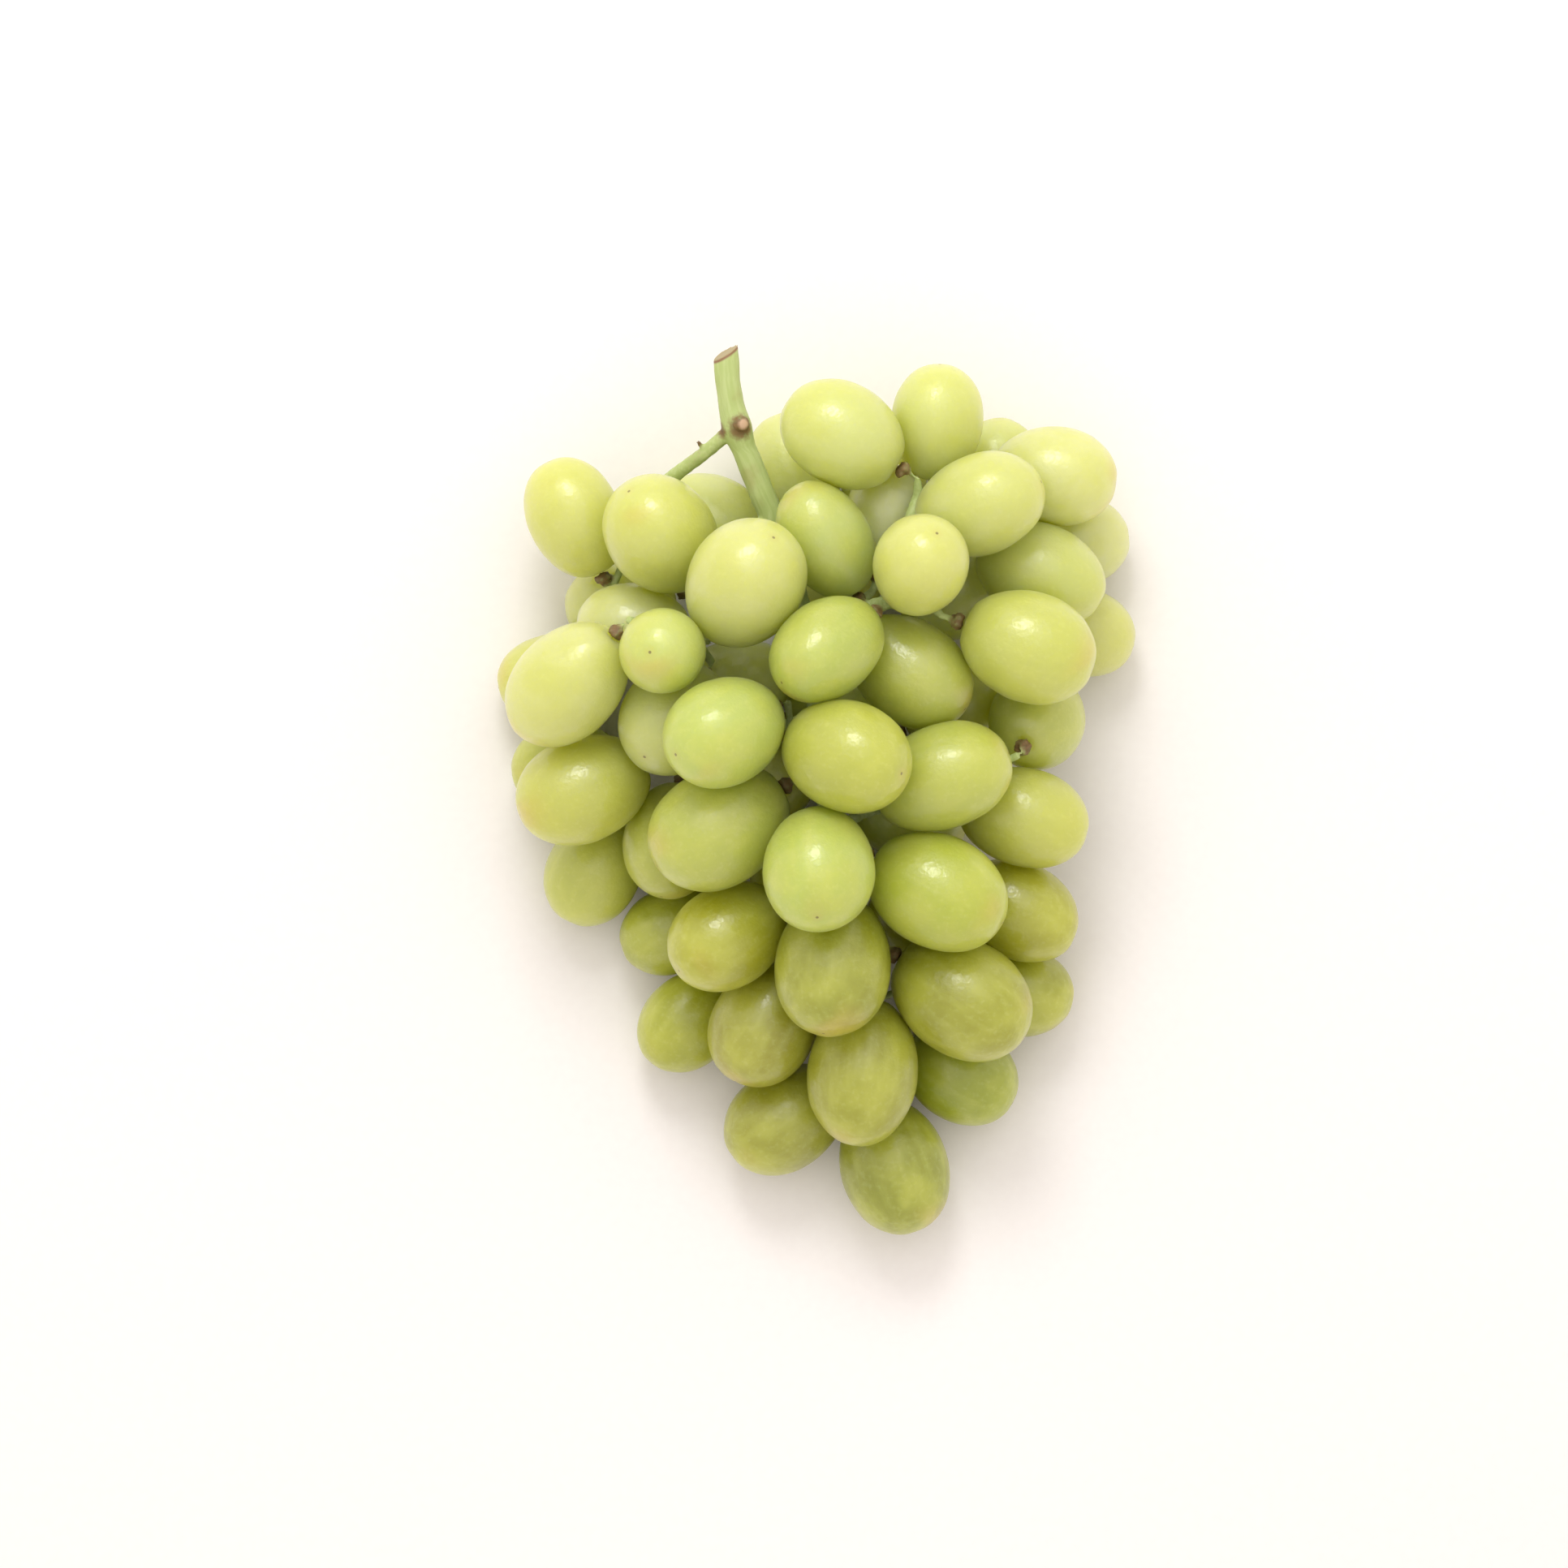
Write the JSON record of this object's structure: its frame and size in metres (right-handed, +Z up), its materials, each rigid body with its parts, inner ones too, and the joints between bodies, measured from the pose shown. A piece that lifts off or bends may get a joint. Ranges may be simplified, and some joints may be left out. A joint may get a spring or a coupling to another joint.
{
  "type": "bunch of grapes",
  "caption": "Bunch of green seedless table grapes lying on its side: egg-shaped berries on a branching stem with a bare cut stalk.",
  "frame": {"origin": "on the table, under the middle of the bunch's bounding box", "axes": "+Z up from the table, +Y along the bunch towards the cut end of the stalk, +X across it"},
  "size_m": [0.1238, 0.1724, 0.0603],
  "materials": {
    "grape": "satin waxy skin over pale translucent yellow-green flesh",
    "stem": "matt pale green bark, brown at the cut end and the collars"
  },
  "bodies": {
    "root": {"left_shoulder_1": "grape", "left_shoulder_2": "grape", "left_shoulder_3": "grape", "left_shoulder_4": "grape", "left_shoulder_5": "grape", "lower_left_1": "grape", "lower_left_2": "grape", "lower_left_3": "grape", "lower_left_4": "grape", "lower_left_5": "grape", "lower_right_1": "grape", "lower_right_2": "grape", "lower_right_3": "grape", "lower_right_4": "grape", "lower_right_5": "grape", "lower_right_6": "grape", "middle_left_1": "grape", "middle_left_2": "grape", "middle_left_3": "grape", "middle_left_4": "grape", "middle_left_5": "grape", "middle_left_6": "grape", "middle_left_7": "grape", "middle_left_8": "grape", "middle_right_1": "grape", "middle_right_2": "grape", "middle_right_3": "grape", "middle_right_4": "grape", "middle_right_5": "grape", "middle_right_6": "grape", "middle_right_7": "grape", "middle_right_8": "grape", "right_shoulder_1": "grape", "right_shoulder_2": "grape", "right_shoulder_3": "grape", "right_shoulder_4": "grape", "right_shoulder_5": "grape", "right_shoulder_6": "grape", "right_shoulder_7": "grape", "right_shoulder_8": "grape", "right_shoulder_9": "grape", "stem": "stem", "tip_1": "grape", "tip_2": "grape", "tip_3": "grape", "tip_4": "grape", "tip_5": "grape", "upper_left_1": "grape", "upper_left_2": "grape", "upper_left_3": "grape", "upper_left_4": "grape", "upper_left_5": "grape", "upper_left_6": "grape", "upper_right_1": "grape", "upper_right_2": "grape", "upper_right_3": "grape", "upper_right_4": "grape", "upper_right_5": "grape", "upper_right_6": "grape", "upper_right_7": "grape"}
  },
  "joints": []
}
